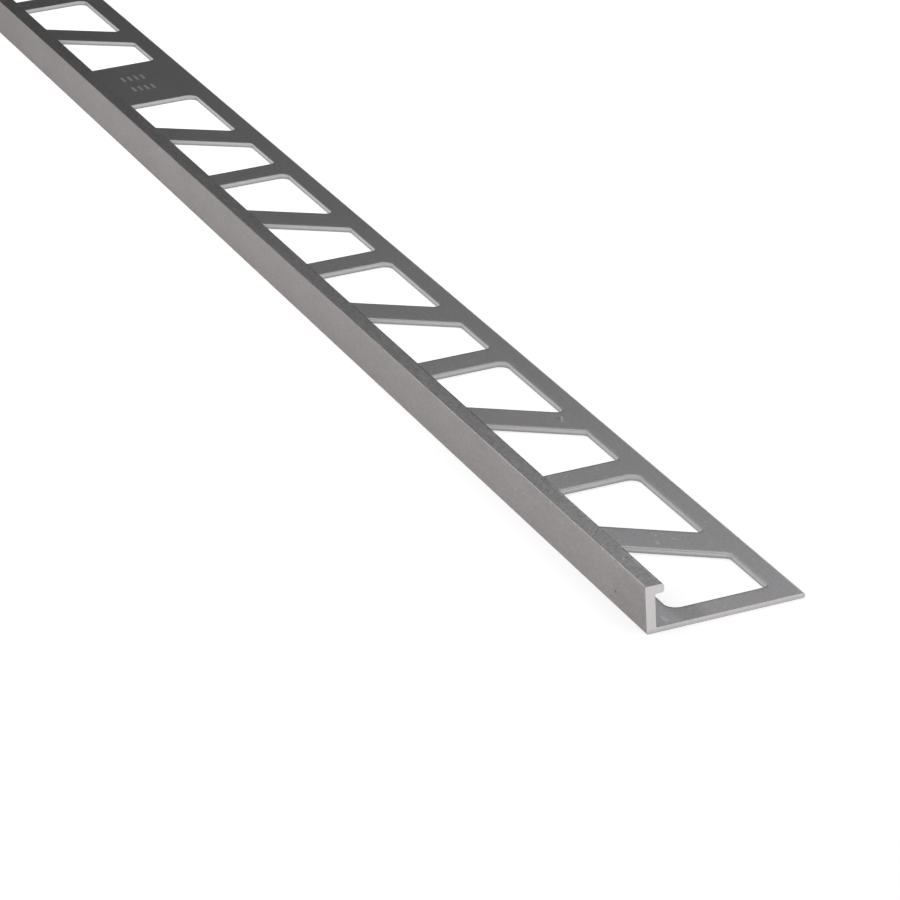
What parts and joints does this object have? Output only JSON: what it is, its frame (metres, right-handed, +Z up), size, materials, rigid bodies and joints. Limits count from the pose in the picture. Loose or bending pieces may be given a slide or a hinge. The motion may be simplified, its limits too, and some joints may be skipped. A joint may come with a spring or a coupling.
{
  "type": "tile edge trim",
  "caption": "Straight aluminium tile edge trim: an upright wall with an inturned lip above a thin anchoring leg punched with right-angled trapezoid holes.",
  "frame": {"origin": "middle of the length and of the width, on the underside of the anchoring leg", "axes": "+X along the length towards the end with the first hole, +Y from the wall across the leg to its free edge, +Z up from the leg's underside to the lip"},
  "size_m": [1, 0.0266, 0.008],
  "materials": {
    "satin_aluminium": "satin anodised extrusion with sawn ends and punched holes"
  },
  "bodies": {
    "root": {"edge_trim": "satin_aluminium"}
  },
  "joints": []
}
